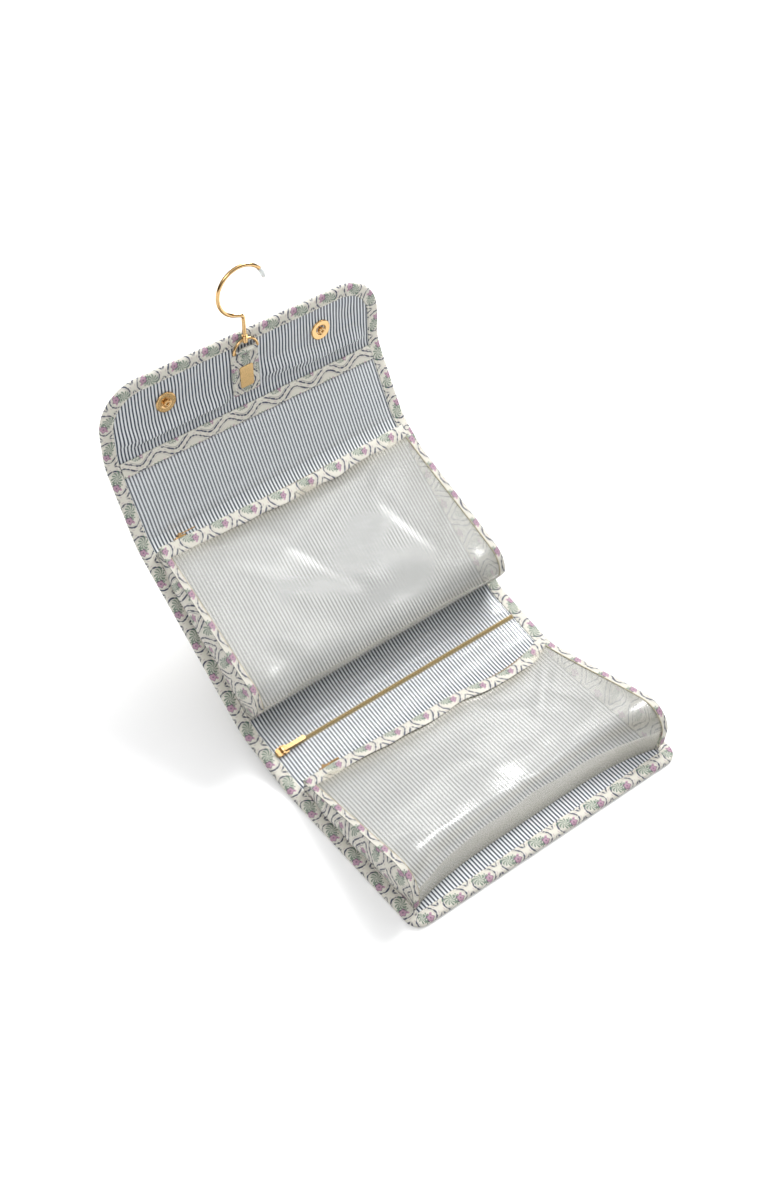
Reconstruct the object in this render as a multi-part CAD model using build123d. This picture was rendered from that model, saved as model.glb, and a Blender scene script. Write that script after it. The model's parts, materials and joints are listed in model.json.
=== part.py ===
from build123d import *

import os
from math import atan2, cos, degrees, radians, sin, tan

# Hanging toiletry bag, laid open on a table with its upper end raised.
# Five padded panels follow each other from the front of the table to the back:
# lower, middle, upper, slip and flap. Each is built flat in its own frame, with x
# across the bag, y up the panel and z out of its striped lining, and is then put in place.
# The lining's surface is z = 0 in that frame. Everything is in millimetres.

# --- driving dimensions -------------------------------------------------------
WIDTH = 266.0
SHELL, FOAM, LINING = 0.8, 2.0, 0.6
PANEL = SHELL + FOAM + LINING

LOWER_LENGTH, MIDDLE_LENGTH, UPPER_LENGTH = 160.0, 59.0, 168.0
SLIP_LENGTH, FLAP_LENGTH = 69.0, 68.0
# how steeply each panel stands, in degrees
LOWER_TILT, MIDDLE_TILT, UPPER_TILT, SLIP_TILT, FLAP_TILT = 0.0, 12.0, 36.5, 59.5, 89.0
LOWER_CORNER, FLAP_CORNER = 12.0, 38.0

BINDING = 0.8           # thickness of the folded edge tape
BINDING_FRONT = 11.0    # its width on the lining side
BINDING_BACK = 8.0      # its width on the outer side
BINDING_SIDE = 1.0      # its thickness round the edge
HINGE_GAP = 0.3         # panel end to fold line
TRIM_GAP = 1.3          # raised trim end to fold line

POCKET_SHALLOW = 11.0   # a box pocket's depth at its zip end
POCKET_RADIUS = 20.0    # bottom front edge
POCKET_HALF = WIDTH / 2 - BINDING_FRONT
GUSSET, VINYL, TAPE = 1.2, 0.8, 0.8
# where the bottom wall and the zip wall stand along the panel, and the bottom's depth;
# the two wedges fill the folded bag, one upside down on the other
LOWER_POCKET = (14.0, LOWER_LENGTH - 7.5, 43.5)
UPPER_POCKET = (7.0, UPPER_LENGTH - 10.0, 46.0)
PIPING, PIPING_WIDTH = 0.6, 2.6
EDGE_STRIP, EDGE_STRIP_WIDTH = 0.9, 9.0    # print strip beside a pocket's zip
FILM = 0.5              # clear sheet over the middle and slip panels
SLIP_TRIM, SLIP_TRIM_WIDTH = 1.2, 12.4

TEETH_WIDTH, TEETH = 4.0, 1.0
POCKET_TEETH = 7.0      # height of a pocket zip's teeth above the lining
SLIDER_LENGTH, SLIDER_WIDTH, SLIDER_TOP = 10.0, 7.2, 2.6
SLIDER_GAP, SLIDER_CORNER = 0.3, 1.4
POST_LENGTH, POST_WIDTH = 2.2, 0.9         # the slider's posts, which carry the puller's pin
PIVOT = 4.0             # puller pin's height above the tape
PIN_RADIUS, EYE_INNER, EYE_OUTER = 0.5, 0.7, 1.15
PULLER_WIDTH, PULLER, PULLER_CORNER = 3.6, 0.8, 1.6
EYE_WIDTH, NECK_WIDTH, NECK_LENGTH = 2.8, 2.8, 2.0
POCKET_PULLER, MIDDLE_PULLER = 15.5, 22.0
POCKET_SLIDER_X, MIDDLE_SLIDER_X = -100.0, -116.0

SNAP_RADIUS, SNAP, SNAP_X = 9.0, 2.2, 74.0
SNAP_ALONG = 36.0       # snap centre, up from the flap's fold
STUD_RADIUS, STUD = 2.7, 1.6
SOCKET_HOLE = 3.1

TAB_WIDTH, TAB, TAB_BOTTOM, TAB_TOP = 25.6, 2.0, 9.5, 50.0
PLAQUE_WIDTH, PLAQUE_HEIGHT, PLAQUE, PLAQUE_BOTTOM = 12.5, 20.5, 1.2, 16.5
PLAQUE_RADIUS = 1.2
RING_BAR = 53.0         # ring's straight bar, up from the flap's fold
RING_OUT = 3.5          # and out from the lining
RING_WIRE, RING_HALF, RING_RISE = 1.1, 11.2, 10.5
LOOP_INNER, LOOP_WALL, LOOP_WIDTH = 1.4, 0.9, 19.0
BOSS_RADIUS, BOSS_HEIGHT = 2.3, 3.2
HOOK_WIRE, BOWL_RADIUS, BOWL_RISE = 1.65, 21.5, 56.0
NECK_RADIUS = 4.0
BOWL_START, BOWL_END = 248.0, 13.0         # bowl's ends, degrees from +x
SWIVEL_GAP = 0.07
HEAD_RADIUS, HEAD_HEIGHT = 2.2, 1.6
CAP_LENGTH, CAP_WALL = 9.0, 0.45


# --- where each panel starts --------------------------------------------------
def step_up(place, length, tilt):
    """The point a panel's length further along, at the panel's tilt."""
    return place[0] + length * cos(radians(tilt)), place[1] + length * sin(radians(tilt))


LOWER_START = (-LOWER_LENGTH / 2, PANEL)
MIDDLE_START = step_up(LOWER_START, LOWER_LENGTH, LOWER_TILT)
UPPER_START = step_up(MIDDLE_START, MIDDLE_LENGTH, MIDDLE_TILT)
SLIP_START = step_up(UPPER_START, UPPER_LENGTH, UPPER_TILT)
FLAP_START = step_up(SLIP_START, SLIP_LENGTH, SLIP_TILT)


def frame(start, tilt):
    return Location((0, *start), (tilt, 0, 0))


LOWER = frame(LOWER_START, LOWER_TILT)
MIDDLE = frame(MIDDLE_START, MIDDLE_TILT)
UPPER = frame(UPPER_START, UPPER_TILT)
SLIP = frame(SLIP_START, SLIP_TILT)
FLAP = frame(FLAP_START, FLAP_TILT)


# --- helpers ------------------------------------------------------------------
def block(x, y, z):
    """A box between pairs of limits."""
    return Pos(sum(x) / 2, sum(y) / 2, sum(z) / 2) * Box(x[1] - x[0], y[1] - y[0], z[1] - z[0])


def plate(half, y, z, low_corner=0.0, high_corner=0.0):
    """A slab across the bag, its corners rounded at either end."""
    outline = Polyline((-half, y[0]), (half, y[0]), (half, y[1]), (-half, y[1]), close=True)
    face = make_face(outline)
    if low_corner:
        face = fillet(face.vertices().sort_by(Axis.Y)[:2], low_corner)
    if high_corner:
        face = fillet(face.vertices().sort_by(Axis.Y)[-2:], high_corner)
    return Pos(0, 0, z[0]) * extrude(face, z[1] - z[0])


def across(face, x):
    """A face drawn as (along, up), extruded across the bag between two limits."""
    solid = extrude(Plane.YZ * face, x[1] - x[0])
    return Pos(x[0], 0, 0) * solid


def panel(length, low_edge, high_edge, low_corner=0.0, high_corner=0.0):
    """A panel's shell, foam, lining and binding. low_edge and high_edge say which
    ends are bound; the others end at a fold."""
    lay = lambda half, inset, z: plate(
        half,
        (inset if low_edge else HINGE_GAP, length - (inset if high_edge else HINGE_GAP)),
        z,
        max(low_corner - inset, 0) if low_edge else 0,
        max(high_corner - inset, 0) if high_edge else 0,
    )
    edge = BINDING_SIDE + 0.05
    back = BINDING_BACK + 0.05
    shell = lay(WIDTH / 2 - back, back, (-PANEL, -PANEL + SHELL))
    foam = lay(WIDTH / 2 - edge, edge, (-PANEL + SHELL, -LINING))
    lining = lay(WIDTH / 2 - edge, edge, (-LINING, 0))
    inner = lay(WIDTH / 2 - BINDING_SIDE, BINDING_SIDE, (-PANEL + BINDING, 0))
    front = lay(WIDTH / 2 - BINDING_FRONT, BINDING_FRONT, (0, BINDING))
    rear = lay(WIDTH / 2 - BINDING_BACK, BINDING_BACK, (-PANEL, -PANEL + BINDING))
    whole = plate(
        WIDTH / 2,
        (0 if low_edge else TRIM_GAP, length - (0 if high_edge else TRIM_GAP)),
        (-PANEL, BINDING),
        low_corner,
        high_corner,
    )
    return shell, foam, lining, whole - inner - front - rear


# --- box pocket ---------------------------------------------------------------
def pocket_outline(bottom, zip_end, deep, grow=0.0):
    """The side view of a box pocket, as (along, up): upright bottom wall, rounded
    bottom front edge, sloping front and upright zip wall, all moved out by grow."""
    slope = atan2(deep - POCKET_SHALLOW, zip_end - bottom)
    rise = lambda along: POCKET_SHALLOW + (zip_end - along) * tan(slope) + grow / cos(slope)
    left, right = bottom - grow, zip_end + grow
    face = make_face(
        Polyline((left, 0), (right, 0), (right, rise(right)), (left, rise(left)), close=True)
    )
    corner = [v for v in face.vertices() if v.Y > 1 and v.X < left + 1]
    return fillet(corner, POCKET_RADIUS + grow)


def keep(face, along, up):
    """The part of a face inside a rectangle."""
    centre = Pos(sum(along) / 2, sum(up) / 2)
    return face & centre * Rectangle(along[1] - along[0], up[1] - up[0])


def pocket(bottom, zip_end, deep):
    """The fixed pieces of a box pocket: gussets, clear front, band under it, zip
    tape, teeth, print strip and piping."""
    outer = pocket_outline(bottom, zip_end, deep)
    wall = outer - pocket_outline(bottom, zip_end, deep, -VINYL)
    slope = atan2(deep - POCKET_SHALLOW, zip_end - bottom)
    turn = bottom + POCKET_RADIUS * (1 + sin(slope))
    far = zip_end - TAPE
    tall = deep + 10
    inside = (-POCKET_HALF + GUSSET, POCKET_HALF - GUSSET)
    band = across(keep(wall, (bottom - 1, turn), (VINYL, tall)), inside)
    band -= block(inside, (bottom + VINYL, turn + 1), (0, POCKET_SHALLOW))
    band += block(inside, (bottom, bottom + VINYL), (0, VINYL))
    front = across(keep(wall, (turn, far), (VINYL + 2, tall)), inside)
    tape = block(inside, (far, zip_end), (0, POCKET_SHALLOW - 0.3))
    teeth = block(
        (inside[0] + 6, inside[1] - 6),
        (zip_end, zip_end + TEETH),
        (POCKET_TEETH - TEETH_WIDTH / 2, POCKET_TEETH + TEETH_WIDTH / 2),
    )
    gussets = [across(outer, side) for side in ((-POCKET_HALF, inside[0]), (inside[1], POCKET_HALF))]
    strip_start = zip_end - EDGE_STRIP_WIDTH
    skin = pocket_outline(bottom, zip_end, deep, EDGE_STRIP) - outer
    strip = across(keep(skin, (strip_start, zip_end), (1, tall)), (-POCKET_HALF, POCKET_HALF))
    cord = pocket_outline(bottom, zip_end, deep, PIPING) - outer
    edges = ((-POCKET_HALF, -POCKET_HALF + PIPING_WIDTH), (POCKET_HALF - PIPING_WIDTH, POCKET_HALF))
    cord = keep(cord, (bottom - 2, strip_start - 0.2), (BINDING + 0.2, tall))
    piping = Compound([across(cord, edge) for edge in edges])
    return {
        "gusset_left": gussets[0],
        "gusset_right": gussets[1],
        "front": front,
        "base_band": band,
        "zip_tape": tape,
        "zip_teeth": teeth,
        "zip_edge": strip,
        "piping": piping,
    }


# --- zip slider and its puller ------------------------------------------------
def slider():
    """A slider astride teeth that run along x on a tape at z = 0."""
    half, channel = SLIDER_WIDTH / 2, TEETH_WIDTH / 2 + SLIDER_GAP
    body = block((-SLIDER_LENGTH / 2, SLIDER_LENGTH / 2), (-half, half), (SLIDER_GAP, SLIDER_TOP))
    body = fillet(body.edges().filter_by(Axis.Z), SLIDER_CORNER)
    body -= block((-SLIDER_LENGTH, SLIDER_LENGTH), (-channel, channel), (0, TEETH + SLIDER_GAP))
    for side in (-1, 1):
        post = Pos(0, 0, (SLIDER_TOP + PIVOT + PIN_RADIUS + 0.2) / 2) * Box(
            POST_LENGTH, POST_WIDTH, PIVOT + PIN_RADIUS - SLIDER_TOP + 0.6
        )
        body += Pos(0, side * (half - 0.7), 0) * post
    pin = Pos(0, 0, PIVOT) * Rot(90, 0, 0) * Cylinder(PIN_RADIUS, SLIDER_WIDTH - 1.6)
    return body + pin


def puller(length):
    """A puller lying along +x from its eye on the slider's pin."""
    eye = Pos(0, 0, PIVOT) * Rot(90, 0, 0) * Cylinder(EYE_OUTER, EYE_WIDTH)
    leaf = block((0, length), (-PULLER_WIDTH / 2, PULLER_WIDTH / 2), (PIVOT - PULLER / 2, PIVOT + PULLER / 2))
    leaf = fillet(leaf.edges().filter_by(Axis.Z).sort_by(Axis.X)[-2:], PULLER_CORNER)
    leaf -= block((-1, PULLER_CORNER), (-PULLER_WIDTH, PULLER_WIDTH), (0, 2 * PIVOT))
    neck = Pos(NECK_LENGTH / 2, 0, PIVOT) * Box(NECK_LENGTH, NECK_WIDTH, PULLER)
    hole = Pos(0, 0, PIVOT) * Rot(90, 0, 0) * Cylinder(EYE_INNER, 2 * PULLER_WIDTH)
    return eye + leaf + neck - hole


# --- hanger -------------------------------------------------------------------
def ring():
    """D-shaped ring in its own frame: x across, y up the flap, bar on the x axis."""
    bow = ThreePointArc((RING_HALF, 0), (0, RING_RISE), (-RING_HALF, 0))
    path = Curve() + [bow]
    wire = sweep(Plane(bow @ 0, z_dir=bow % 0) * Circle(RING_WIRE), path=path)
    bar = Rot(0, 90, 0) * Cylinder(RING_WIRE, 2 * RING_HALF)
    ends = [Pos(side * RING_HALF, 0, 0) * Sphere(RING_WIRE) for side in (-1, 1)]
    boss = Pos(0, RING_RISE, 0) * Rot(90, 0, 0) * Cylinder(BOSS_RADIUS, BOSS_HEIGHT)
    bore = Pos(0, RING_RISE, 0) * Rot(90, 0, 0) * Cylinder(HOOK_WIRE + SWIVEL_GAP, 2 * BOSS_HEIGHT)
    return wire + bar + ends + boss - bore


def bowl_point(angle):
    return BOWL_RADIUS * cos(radians(angle)), BOWL_RISE + BOWL_RADIUS * sin(radians(angle))


def hook():
    """Wire, swivel head, collar and tip cap of the hook, in the ring's frame."""
    foot = RING_RISE - BOSS_HEIGHT / 2 - 0.1
    start = bowl_point(BOWL_START)
    bowl = CenterArc((0, BOWL_RISE), BOWL_RADIUS, BOWL_END, BOWL_START - BOWL_END)
    heading = radians(BOWL_START + 90)
    lead = abs(start[0]) / cos(heading)
    meet = (0, start[1] + lead * sin(heading))
    neck = FilletPolyline(start, meet, (0, foot), radius=NECK_RADIUS)
    path = bowl + neck
    wire = sweep(Plane(neck @ 1, z_dir=neck % 1) * Circle(HOOK_WIRE), path=path)
    head = Pos(0, foot - HEAD_HEIGHT / 2, 0) * Rot(90, 0, 0) * Cylinder(HEAD_RADIUS, HEAD_HEIGHT)
    wire += fillet(head.edges().sort_by(Axis.Y)[:1], 0.7)
    collar_low = RING_RISE + BOSS_HEIGHT / 2 + 0.1
    collar = Pos(0, collar_low + 0.8, 0) * Rot(90, 0, 0) * (
        Cylinder(HEAD_RADIUS, 1.6) - Cylinder(HOOK_WIRE, 2)
    )
    cap_turn = degrees(CAP_LENGTH / BOWL_RADIUS)
    tip = CenterArc((0, BOWL_RISE), BOWL_RADIUS, BOWL_END, cap_turn)
    tube = Plane(tip @ 0, z_dir=tip % 0) * Circle(HOOK_WIRE + CAP_WALL)
    cap = sweep(tube, path=tip) + Pos(tip @ 0) * Sphere(HOOK_WIRE + CAP_WALL)
    return wire, collar, cap - wire


# --- build every node ---------------------------------------------------------
nodes = {}


def add(prefix, place, pieces):
    for name, solid in pieces.items():
        nodes[f"{prefix}_{name}"] = place * solid


def padded(prefix, place, layers):
    add(prefix, place, dict(zip(("shell", "foam", "lining", "binding"), layers)))


lower = panel(LOWER_LENGTH, True, False, low_corner=LOWER_CORNER)
socket_along = LOWER_LENGTH - UPPER_LENGTH + SNAP_ALONG
sockets = [Pos(side * SNAP_X, socket_along, -PANEL + SNAP / 2) for side in (-1, 1)]
seats = Compound([place * Cylinder(SNAP_RADIUS + 0.05, SNAP + 0.1) for place in sockets])
padded("lower", LOWER, (lower[0] - seats, lower[1] - seats, *lower[2:]))
add("lower", LOWER, pocket(*LOWER_POCKET))
stud_hole = Pos(0, 0, -SNAP / 2) * Cylinder(SOCKET_HOLE, 2 * STUD + 0.2)
socket = Cylinder(SNAP_RADIUS, SNAP) - stud_hole
add("lower", LOWER, {"snap_sockets": Compound([place * socket for place in sockets])})

padded("middle", MIDDLE, panel(MIDDLE_LENGTH, False, False))
half_film = WIDTH / 2 - BINDING_FRONT - 0.2
middle_zip = MIDDLE_LENGTH / 2
film = plate(half_film, (TRIM_GAP, MIDDLE_LENGTH - TRIM_GAP), (0, FILM))
slot = block((-half_film, half_film), (middle_zip - TEETH_WIDTH / 2, middle_zip + TEETH_WIDTH / 2), (0, 1))
teeth = Pos(0, middle_zip, (FILM + TEETH) / 2) * Box(2 * half_film, TEETH_WIDTH, FILM + TEETH)
add("middle", MIDDLE, {"film": film - slot, "zip_teeth": teeth})

padded("upper", UPPER, panel(UPPER_LENGTH, False, False))
add("upper", UPPER, pocket(*UPPER_POCKET))

padded("slip", SLIP, panel(SLIP_LENGTH, False, False))
trim_end = SLIP_LENGTH - TRIM_GAP - 0.4
trim_start = trim_end - SLIP_TRIM_WIDTH
add("slip", SLIP, {
    "film": plate(half_film, (TRIM_GAP, trim_start - 0.05), (0, FILM)),
    "trim": plate(half_film, (trim_start, trim_end), (0, SLIP_TRIM)),
})

padded("flap", FLAP, panel(FLAP_LENGTH, False, True, high_corner=FLAP_CORNER))
tab = plate(TAB_WIDTH / 2, (TAB_BOTTOM, TAB_TOP), (0, TAB), 3.0, 3.0)
plaque = plate(
    PLAQUE_WIDTH / 2,
    (PLAQUE_BOTTOM, PLAQUE_BOTTOM + PLAQUE_HEIGHT),
    (TAB, TAB + PLAQUE),
    PLAQUE_RADIUS,
    PLAQUE_RADIUS,
)
ring_place = Pos(0, RING_BAR, RING_OUT)
loop_out = LOOP_INNER + LOOP_WALL
loop = ring_place * Rot(0, 90, 0) * Cylinder(loop_out, LOOP_WIDTH)
tail_low = RING_OUT - loop_out
loop += block(
    (-LOOP_WIDTH / 2, LOOP_WIDTH / 2), (TAB_TOP + 0.05, RING_BAR), (tail_low, tail_low + LOOP_WALL)
)
loop -= ring_place * Rot(0, 90, 0) * Cylinder(LOOP_INNER, 2 * LOOP_WIDTH)
stud = Cylinder(SNAP_RADIUS, SNAP) + Pos(0, 0, SNAP / 2 + STUD / 2) * Cylinder(STUD_RADIUS, STUD)
studs = Compound([Pos(side * SNAP_X, SNAP_ALONG, SNAP / 2) * stud for side in (-1, 1)])
add("flap", FLAP, {"tab": tab, "plaque": plaque, "ring_loop": loop, "snap_studs": studs})

nodes["ring"] = FLAP * ring_place * ring()
for name, solid in zip(("hook", "hook_collar", "hook_tip"), hook()):
    nodes[name] = FLAP * ring_place * solid

# A pocket's zip wall faces up the panel: its tape frame has x across the bag, its
# own y down towards the lining and z out of the wall.
for name, place, wall in (("lower", LOWER, LOWER_POCKET[1]), ("upper", UPPER, UPPER_POCKET[1])):
    tape = place * Pos(POCKET_SLIDER_X, wall, POCKET_TEETH) * Rot(-90, 0, 0)
    nodes[f"{name}_slider"] = tape * slider()
    nodes[f"{name}_puller"] = tape * puller(POCKET_PULLER)
tape = MIDDLE * Pos(MIDDLE_SLIDER_X, middle_zip, FILM)
nodes["middle_slider"] = tape * slider()
nodes["middle_puller"] = tape * puller(MIDDLE_PULLER)

os.makedirs("parts", exist_ok=True)
for name, shape in nodes.items():
    shape.label = name
    export_step(shape, f"parts/{name}.step")
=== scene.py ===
import json
import math

import bmesh
import bpy
import numpy as np
from mathutils import Matrix, Vector


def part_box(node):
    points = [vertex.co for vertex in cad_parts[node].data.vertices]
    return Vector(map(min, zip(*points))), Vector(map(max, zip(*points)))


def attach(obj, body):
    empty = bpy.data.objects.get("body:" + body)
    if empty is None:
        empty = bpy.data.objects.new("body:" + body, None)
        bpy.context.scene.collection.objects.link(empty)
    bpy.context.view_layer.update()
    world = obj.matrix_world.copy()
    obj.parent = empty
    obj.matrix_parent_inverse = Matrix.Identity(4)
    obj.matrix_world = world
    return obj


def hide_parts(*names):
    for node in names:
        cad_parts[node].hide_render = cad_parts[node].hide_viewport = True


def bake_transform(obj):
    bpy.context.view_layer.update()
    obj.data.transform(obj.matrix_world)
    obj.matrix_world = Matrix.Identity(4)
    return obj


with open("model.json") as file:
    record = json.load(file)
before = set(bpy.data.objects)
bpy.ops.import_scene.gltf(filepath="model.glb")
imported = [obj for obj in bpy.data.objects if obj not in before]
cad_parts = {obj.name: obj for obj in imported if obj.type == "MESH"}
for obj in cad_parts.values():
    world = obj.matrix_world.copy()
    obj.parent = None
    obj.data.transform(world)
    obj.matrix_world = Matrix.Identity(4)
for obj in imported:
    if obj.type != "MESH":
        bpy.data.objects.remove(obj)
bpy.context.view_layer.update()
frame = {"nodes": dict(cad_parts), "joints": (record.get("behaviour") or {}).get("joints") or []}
MM = 0.001


# --- camera, lights and the room around them ----------------------------------
AZIMUTH, ELEVATION, ROLL = -38.605, 46.381, 0.670              # the camera's, in degrees
AIM, DISTANCE, LENS = (0.05945, 0.19551, 0), 1.50628, 53.03     # the last in millimetres


def make_camera():
    azimuth, elevation, roll = (math.radians(a) for a in (AZIMUTH, ELEVATION, ROLL))
    back = Vector(
        (
            math.sin(azimuth) * math.cos(elevation),
            -math.cos(azimuth) * math.cos(elevation),
            math.sin(elevation),
        )
    )
    level = Vector((math.cos(azimuth), math.sin(azimuth), 0))
    rise = back.cross(level)
    right = level * math.cos(roll) + rise * math.sin(roll)
    up = rise * math.cos(roll) - level * math.sin(roll)
    place = Matrix((right, up, back)).transposed().to_4x4()
    place.translation = Vector(AIM) + back * DISTANCE
    data = bpy.data.cameras.new("camera")
    data.lens = LENS
    data.clip_start, data.clip_end = 0.05, 50
    camera = bpy.data.objects.new("camera", data)
    bpy.context.collection.objects.link(camera)
    camera.matrix_world = place
    bpy.context.scene.camera = camera


def make_light(name, at, size, power):
    data = bpy.data.lights.new(name, "AREA")
    data.shape = "RECTANGLE"
    data.size, data.size_y = size
    data.energy = power
    light = bpy.data.objects.new(name, data)
    bpy.context.collection.objects.link(light)
    light.location = at
    light.rotation_euler = (Vector(CENTRE) - Vector(at)).to_track_quat("-Z", "Y").to_euler()


CENTRE = (0, 0.12, 0.1)    # what the lights point at
make_camera()
bpy.context.scene.view_settings.view_transform = "Standard"
make_light("key", (1.35, 0.6, 1.35), (0.9, 0.9), 37)
make_light("overhead_strip", (0.73, -0.07, 1.65), (0.16, 0.8), 2.0)
make_light("fill", (-1.0, -0.35, 1.75), (1.2, 0.8), 12)
make_light("overhead_strip_2", (0.80, 0.50, 1.6), (0.16, 0.6), 1.6)
make_light("back_window", (0.74, 1.38, 0.75), (0.45, 0.9), 4)


# (height, brightness) of the room, from straight down at 0 to straight up at 1
ROOM = ((0.0, 0.8), (0.49, 0.7), (0.52, 0.05), (0.62, 0.08), (0.74, 0.45), (0.85, 0.62), (1.0, 0.7))


def make_world():
    """A bright room for reflections to have contrast in, plain white where it shows."""
    world = bpy.data.worlds.new("studio")
    world.use_nodes = True
    tree = world.node_tree
    background = tree.nodes["Background"]
    seen = tree.nodes.new("ShaderNodeBackground")
    seen.inputs["Color"].default_value = (1, 1, 1, 1)
    room = tree.nodes.new("ShaderNodeTexCoord")
    split = tree.nodes.new("ShaderNodeSeparateXYZ")
    ramp = tree.nodes.new("ShaderNodeValToRGB")
    stops = ramp.color_ramp.elements
    for height, level in ROOM:
        point = stops.new(height) if 0 < height < 1 else stops[int(height)]
        point.color = (level * 0.98, level * 0.99, level, 1)
    half = tree.nodes.new("ShaderNodeMath")
    half.operation = "MULTIPLY_ADD"
    half.inputs[1].default_value = half.inputs[2].default_value = 0.5
    path = tree.nodes.new("ShaderNodeLightPath")
    mix = tree.nodes.new("ShaderNodeMixShader")
    link = tree.links.new
    link(room.outputs["Generated"], split.inputs[0])
    link(split.outputs[2], half.inputs[0])
    link(half.outputs[0], ramp.inputs[0])
    link(ramp.outputs[0], background.inputs["Color"])
    background.inputs["Strength"].default_value = 0.92
    link(path.outputs["Is Camera Ray"], mix.inputs[0])
    link(background.outputs[0], mix.inputs[1])
    link(seen.outputs[0], mix.inputs[2])
    link(mix.outputs[0], tree.nodes["World Output"].inputs[0])
    bpy.context.scene.world = world


make_world()


# --- small helpers for lines of points ----------------------------------------
def unit(v):
    return v / np.linalg.norm(v, axis=-1, keepdims=True)


def run_along(points):
    """How far along a line each of its points is."""
    return np.concatenate([[0], np.cumsum(np.linalg.norm(np.diff(points, axis=0), axis=1))])


def girth(section):
    """How far round a closed section each of its points is, and its whole way round."""
    return run_along(np.concatenate([section, section[:1]]))


def paired(a, b):
    """Two grids of numbers as one grid of pairs."""
    return np.stack(np.broadcast_arrays(a, b), -1)


# --- where the panels are -----------------------------------------------------
# The bag's wall is one long sheet. A place on it is x across the bag, s along the
# lining from the front edge, and n out of the lining, all in metres.
JOINTS = {j["name"]: j for j in frame["joints"]}
FOLDS = ("lower_fold", "upper_fold", "slip_fold", "flap_fold")
PANELS = ("lower", "middle", "upper", "slip", "flap")
TILTS = [0.0]
for fold in FOLDS:
    TILTS.append(TILTS[-1] - math.radians(JOINTS[fold]["range_deg"][0]))
DIRS = np.array([(math.cos(t), math.sin(t)) for t in TILTS])
CORNERS = [(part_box("lower_binding")[0].y, JOINTS["lower_fold"]["pos_m"][2])]
CORNERS += [tuple(JOINTS[fold]["pos_m"][1:]) for fold in FOLDS]
FLAP_LENGTH = (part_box("flap_binding")[1].z - CORNERS[4][1]) / DIRS[4][1]
CORNERS.append(tuple(np.array(CORNERS[4]) + FLAP_LENGTH * DIRS[4]))
CORNERS = np.array(CORNERS)
STATIONS = run_along(CORNERS)
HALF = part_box("lower_binding")[1].x
THICK = CORNERS[0][1]                  # the padded wall
BEND = 9 * MM                          # half the length that a fold curves over
SEAMS = [(STATIONS[i] + STATIONS[i + 1]) / 2 for i in (1, 2, 3)]
CORNER_RADIUS = (12 * MM, 38 * MM)     # at the front and at the flap


def place(x, s, n):
    """World points for places on the sheet."""
    x, s, n = np.broadcast_arrays(*(np.asarray(v, float) for v in (x, s, n)))
    i = np.clip(np.searchsorted(STATIONS, s, "right") - 1, 0, 4)
    p = CORNERS[i] + (s - STATIONS[i])[..., None] * DIRS[i]
    d = DIRS[i].copy()
    for k in range(1, 5):
        t = (s - STATIONS[k] + BEND) / (2 * BEND)
        m = (t > 0) & (t < 1)
        t = t[m][:, None]
        a, b, c = CORNERS[k] - BEND * DIRS[k - 1], CORNERS[k], CORNERS[k] + BEND * DIRS[k]
        p[m] = (1 - t) ** 2 * a + 2 * t * (1 - t) * b + t**2 * c
        d[m] = (1 - t) * DIRS[k - 1] + t * DIRS[k]
    d /= np.linalg.norm(d, axis=-1, keepdims=True)
    return np.stack([x, p[..., 0] - n * d[..., 1], p[..., 1] + n * d[..., 0]], -1)


def ripple(a, b, seed, waves=7, low=20.0, high=60.0):
    """A soft uneven surface, from about -1 to 1, over two lengths in metres."""
    draw = np.random.default_rng(seed)
    total = np.zeros(np.broadcast(a, b).shape)
    for _ in range(waves):
        turn, length, phase = draw.uniform(0, math.pi), draw.uniform(low, high), draw.uniform(0, 6.3)
        k = 2 * math.pi / (length * MM)
        total = total + np.sin(k * (math.cos(turn) * a + math.sin(turn) * b) + phase)
    return total / math.sqrt(waves * 2)


def smooth(t):
    t = np.clip(t, 0, 1)
    return t * t * (3 - 2 * t)


# --- mesh helpers -------------------------------------------------------------
# A part is (points, faces, plan): plan holds each face corner's place on the flat cloth.
def grid_faces(index):
    return np.stack([index[:-1, :-1], index[1:, :-1], index[1:, 1:], index[:-1, 1:]], -1).reshape(-1, 4)


def slab(top, bottom, plan):
    """A closed sheet between two grids of points."""
    count = top.shape[0] * top.shape[1]
    index = np.arange(count).reshape(top.shape[:2])
    rim = np.concatenate([index[:, 0], index[-1, 1:], index[-2::-1, -1], index[0, -2:0:-1]])
    following = np.roll(rim, -1)
    faces = np.concatenate(
        [
            grid_faces(index),
            grid_faces(index)[:, ::-1] + count,
            np.stack([following, rim, rim + count, following + count], -1),
        ]
    )
    points = np.concatenate([top.reshape(-1, 3), bottom.reshape(-1, 3)])
    flat = plan.reshape(-1, 2)
    return points, faces.tolist(), np.concatenate([flat, flat])[faces].reshape(-1, 2)


def skin(rings, plan=None, closed=False):
    """A tube through rings of points, capped unless it closes on itself."""
    n, k = rings.shape[:2]
    if plan is None:
        plan = np.zeros((n, k + 1, 2))
    index = np.arange(n * k).reshape(n, k)
    around = np.concatenate([index, index[:, :1]], 1)
    table = np.arange(n * (k + 1)).reshape(n, k + 1)
    if closed:
        around, table = np.concatenate([around, around[:1]]), np.concatenate([table, table[:1]])
    faces = grid_faces(around)
    corners = plan.reshape(-1, 2)[grid_faces(table)].reshape(-1, 2)
    faces = faces.tolist()
    if not closed:
        faces += [index[0].tolist(), index[-1, ::-1].tolist()]
        corners = np.concatenate([corners, plan[0, :-1], plan[-1, -2::-1]])
    return rings.reshape(-1, 3), faces, corners


def merged(parts):
    points, faces, corners, start = [], [], [], 0
    for p, f, c in parts:
        points.append(p)
        faces += [[v + start for v in face] for face in f]
        corners.append(c)
        start += len(p)
    return np.concatenate(points), faces, np.concatenate(corners)


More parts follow.
